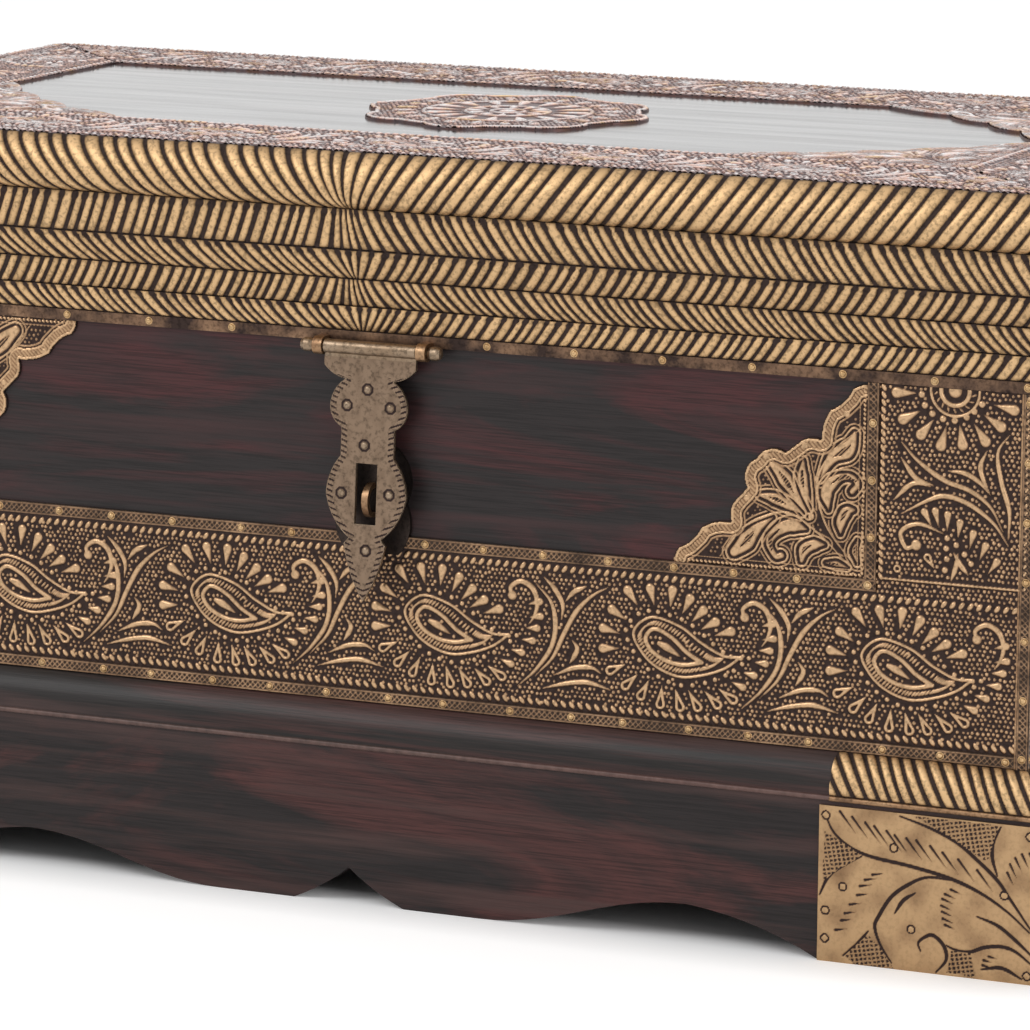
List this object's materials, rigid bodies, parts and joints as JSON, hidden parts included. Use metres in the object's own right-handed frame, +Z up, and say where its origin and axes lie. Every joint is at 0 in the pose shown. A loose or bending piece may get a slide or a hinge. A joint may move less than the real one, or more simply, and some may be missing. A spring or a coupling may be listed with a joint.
{
  "type": "storage chest",
  "caption": "Wooden storage chest clad in embossed brass sheet, with a moulded hinged lid, a swinging hasp over a staple and a shaped plinth.",
  "frame": {"origin": "on the floor, under the middle of the chest", "axes": "+X along the front to the viewer's right, +Y from the front to the back, +Z up"},
  "size_m": [0.893, 0.475, 0.45],
  "materials": {
    "dark_wood": "dark oiled hardwood, open grain",
    "moulding_wood": "dark hardwood, semi-gloss, with a rubbed light edge",
    "rosewood": "dark reddish-brown hardwood, satin varnish",
    "top_wood": "dark hardwood, polished",
    "embossed_brass": "embossed sheet brass with dark patina in the hollows",
    "top_brass": "embossed sheet brass, worn brighter on top",
    "aged_brass": "cast plate, dull and spotted with age",
    "dark_brass": "nearly black with patina",
    "hinge_steel": "plain hinge metal"
  },
  "bodies": {
    "carcass": {"apron_back": "dark_wood", "apron_front": "dark_wood", "apron_left": "dark_wood", "apron_right": "dark_wood", "back_board": "rosewood", "bracket_lower_right": "embossed_brass", "bracket_upper_left": "embossed_brass", "corner_angles": "embossed_brass", "corner_blocks": "dark_wood", "end_panel_front_left": "embossed_brass", "end_panel_front_right": "embossed_brass", "floor_board": "dark_wood", "foot_plate_back_left": "embossed_brass", "foot_plate_back_right": "embossed_brass", "foot_plate_front_left": "embossed_brass", "foot_plate_front_right": "embossed_brass", "front_band": "embossed_brass", "front_board": "rosewood", "front_strips": "embossed_brass", "hasp_back_plate": "dark_brass", "hasp_staple": "embossed_brass", "hinge_lower_leaves": "hinge_steel", "hinge_pins": "hinge_steel", "left_band": "embossed_brass", "left_board": "rosewood", "left_end_panels": "embossed_brass", "moulding_cap_back_left": "embossed_brass", "moulding_cap_back_right": "embossed_brass", "moulding_cap_front_left": "embossed_brass", "moulding_cap_front_right": "embossed_brass", "plinth_moulding_back": "moulding_wood", "plinth_moulding_front": "moulding_wood", "plinth_moulding_left": "moulding_wood", "plinth_moulding_right": "moulding_wood", "right_band": "embossed_brass", "right_board": "rosewood", "right_end_panels": "embossed_brass", "side_strips": "embossed_brass"},
    "lid": {"lid_edge_strip": "embossed_brass", "lid_rail_back": "rosewood", "lid_rail_front": "rosewood", "lid_rail_left": "rosewood", "lid_rail_right": "rosewood", "lid_sheath_front": "embossed_brass", "lid_sheath_left": "embossed_brass", "lid_sheath_right": "embossed_brass", "lid_top_board": "top_wood", "top_border_back": "top_brass", "top_border_front": "top_brass", "top_border_left": "top_brass", "top_border_right": "top_brass", "top_bracket_back_right": "top_brass", "top_bracket_front_left": "top_brass", "top_bracket_front_right": "top_brass", "top_medallion": "top_brass", "hasp_eyes": "embossed_brass", "hinge_upper_leaves": "hinge_steel"},
    "hasp": {"hasp_plate": "aged_brass", "hasp_pin": "aged_brass"}
  },
  "joints": [
    {"name": "lid_open", "type": "hinge", "parent": "carcass", "child": "lid", "pos_m": [0, 0.2164, 0.33605], "axis": [-1, 0, 0], "range_deg": [0, 100]},
    {"name": "hasp_swing", "type": "hinge", "parent": "lid", "child": "hasp", "pos_m": [0.012, -0.221, 0.3343], "axis": [-1, 0, 0], "range_deg": [-6, 160]}
  ]
}
